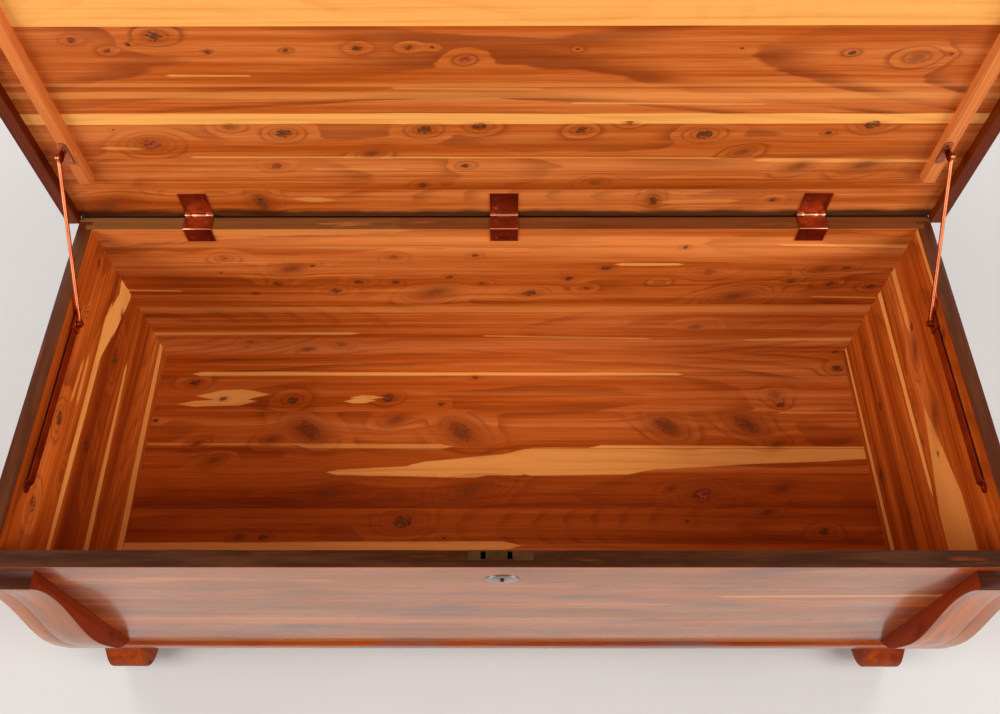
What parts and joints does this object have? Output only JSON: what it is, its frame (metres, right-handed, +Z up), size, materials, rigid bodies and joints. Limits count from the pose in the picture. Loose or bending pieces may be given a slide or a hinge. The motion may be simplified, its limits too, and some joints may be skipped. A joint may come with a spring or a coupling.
{
  "type": "wooden storage chest with a hinged lid",
  "caption": "Long cedar storage chest: board case on scroll feet with scroll brackets, full-width hinged lid standing open, sliding rod stays and a mortised lid lock.",
  "frame": {"origin": "on the plane the feet stand on, under the middle of the chest with its lid open, in length and in depth", "axes": "+X along the chest's length to the right, +Y from the front to the back, +Z up; the lid stands open at a right angle"},
  "size_m": [1.257, 0.5731, 0.985],
  "materials": {
    "cedar_case": "satin lacquer",
    "cedar_lid": "satin lacquer",
    "cedar_floor": "bare, lightly oiled",
    "cedar_trim": "gloss lacquer",
    "cedar_batten": "satin",
    "cedar_under": "bare",
    "hinge_metal": "coppered steel, darkened",
    "stay_metal": "coppered steel, worn",
    "small_screws": "coppered steel",
    "lock_metal": "aged brass",
    "escutcheon": "nickelled, worn"
  },
  "bodies": {
    "case": {"back_board_bottom": "cedar_case", "back_board_middle": "cedar_case", "back_board_top": "cedar_case", "base_bead": "cedar_trim", "escutcheon": "escutcheon", "floor_board_1": "cedar_floor", "floor_board_2": "cedar_floor", "floor_board_3": "cedar_floor", "floor_board_4": "cedar_floor", "floor_board_5": "cedar_floor", "floor_cleats": "cedar_under", "front_board_bottom": "cedar_case", "front_board_middle": "cedar_case", "front_board_top": "cedar_case", "front_foot_left": "cedar_trim", "front_foot_right": "cedar_trim", "glue_blocks": "cedar_under", "hinge_box_leaves": "hinge_metal", "hinge_box_screws": "hinge_metal", "hinge_pins": "hinge_metal", "left_board_bottom": "cedar_case", "left_board_middle": "cedar_case", "left_board_top": "cedar_case", "lock_case": "lock_metal", "lock_selvedge": "lock_metal", "rear_foot_left": "cedar_under", "rear_foot_right": "cedar_under", "right_board_bottom": "cedar_case", "right_board_middle": "cedar_case", "right_board_top": "cedar_case", "scroll_bracket_left": "cedar_trim", "scroll_bracket_right": "cedar_trim", "scroll_cheek_left": "cedar_trim", "scroll_cheek_right": "cedar_trim", "small_case_screws": "small_screws", "stay_rail_left": "stay_metal", "stay_rail_right": "stay_metal"},
    "lid": {"lid_batten_left": "cedar_batten", "lid_batten_right": "cedar_batten", "lid_board_1": "cedar_lid", "lid_board_2": "cedar_lid", "lid_board_3": "cedar_lid", "lid_board_4": "cedar_lid", "lid_board_5": "cedar_lid", "lid_board_6": "cedar_lid", "lid_skirt_front": "cedar_lid", "lid_skirt_left": "cedar_lid", "lid_skirt_right": "cedar_lid", "hinge_lid_leaves": "hinge_metal", "hinge_lid_screws": "hinge_metal", "stay_bracket_left": "stay_metal", "stay_bracket_right": "stay_metal", "small_lid_screws": "small_screws", "stay_rivets": "stay_metal", "strike_plate": "lock_metal"},
    "stay_rod_left": {"stay_rod_left": "stay_metal"},
    "stay_rod_right": {"stay_rod_right": "stay_metal"},
    "stay_slider_left": {"stay_slider_left": "stay_metal"},
    "stay_slider_right": {"stay_slider_right": "stay_metal"},
    "lock_bolt": {"lock_bolt": "lock_metal"}
  },
  "joints": [
    {"name": "lid_hinge", "type": "hinge", "parent": "case", "child": "lid", "pos_m": [0, 0.26305, 0.4465], "axis": [1, 0, 0], "range_deg": [0, 90]},
    {"name": "stay_slide_left", "type": "slide", "parent": "case", "child": "stay_slider_left", "axis": [0, -1, 0], "range_m": [0, 0.1897]},
    {"name": "stay_slide_right", "type": "slide", "parent": "case", "child": "stay_slider_right", "axis": [0, -1, 0], "range_m": [0, 0.1897]},
    {"name": "stay_pivot_left", "type": "hinge", "parent": "lid", "child": "stay_rod_left", "pos_m": [-0.5801, 0.24485, 0.583], "axis": [1, 0, 0], "range_deg": [-136, 0]},
    {"name": "stay_pivot_right", "type": "hinge", "parent": "lid", "child": "stay_rod_right", "pos_m": [0.5801, 0.24485, 0.583], "axis": [1, 0, 0], "range_deg": [-136, 0]},
    {"name": "bolt_slide", "type": "slide", "parent": "case", "child": "lock_bolt", "axis": [1, 0, 0], "range_m": [0, 0.006]}
  ],
  "couplings": [
    {"joint": "stay_slide_left", "follows": "lid_hinge", "m_per_rad": 0.12048},
    {"joint": "stay_slide_right", "follows": "lid_hinge", "m_per_rad": 0.12048},
    {"joint": "stay_pivot_left", "follows": "lid_hinge", "ratio": -1.4999},
    {"joint": "stay_pivot_right", "follows": "lid_hinge", "ratio": -1.4999}
  ]
}
